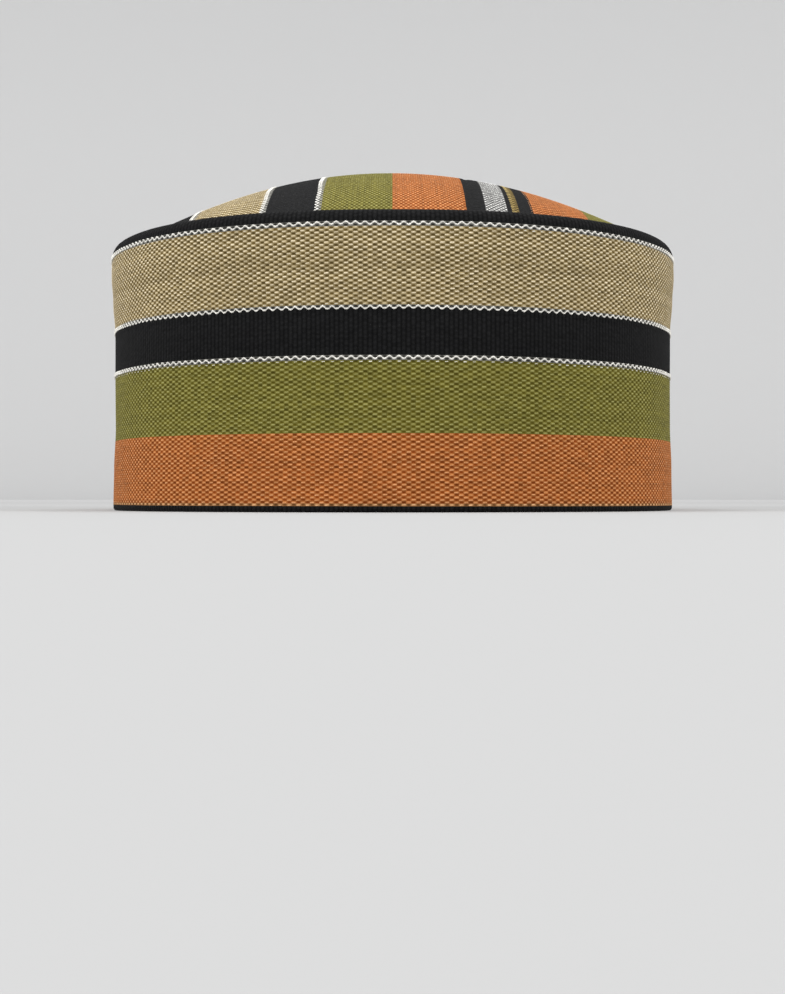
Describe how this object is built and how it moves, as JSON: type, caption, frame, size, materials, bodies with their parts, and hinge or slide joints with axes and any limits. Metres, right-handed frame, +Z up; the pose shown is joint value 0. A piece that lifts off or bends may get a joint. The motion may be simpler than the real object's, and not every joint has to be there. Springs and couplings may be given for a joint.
{
  "type": "aso oke cap",
  "caption": "Round brimless cap of striped strip-woven cloth, with a stiff upright band, a low domed crown and a black lining, worn on the head.",
  "frame": {"origin": "centre of the cap's plan outline, at the level of the hem's lower edge", "axes": "+Z up through the crown, +Y from the front of the cap to its back, +X to the right seen from the front"},
  "size_m": [0.173, 0.2075, 0.1035],
  "materials": {
    "striped_cloth": "matt hand-woven cotton with khaki, black, olive green and orange stripes and fine white lines",
    "striped_cloth_crown": "the same matt woven cotton, with its stripes running from front to back",
    "black_lining": "plain matt black cotton"
  },
  "bodies": {
    "root": {"band": "striped_cloth", "crown": "striped_cloth_crown", "band_lining": "black_lining"}
  },
  "joints": []
}
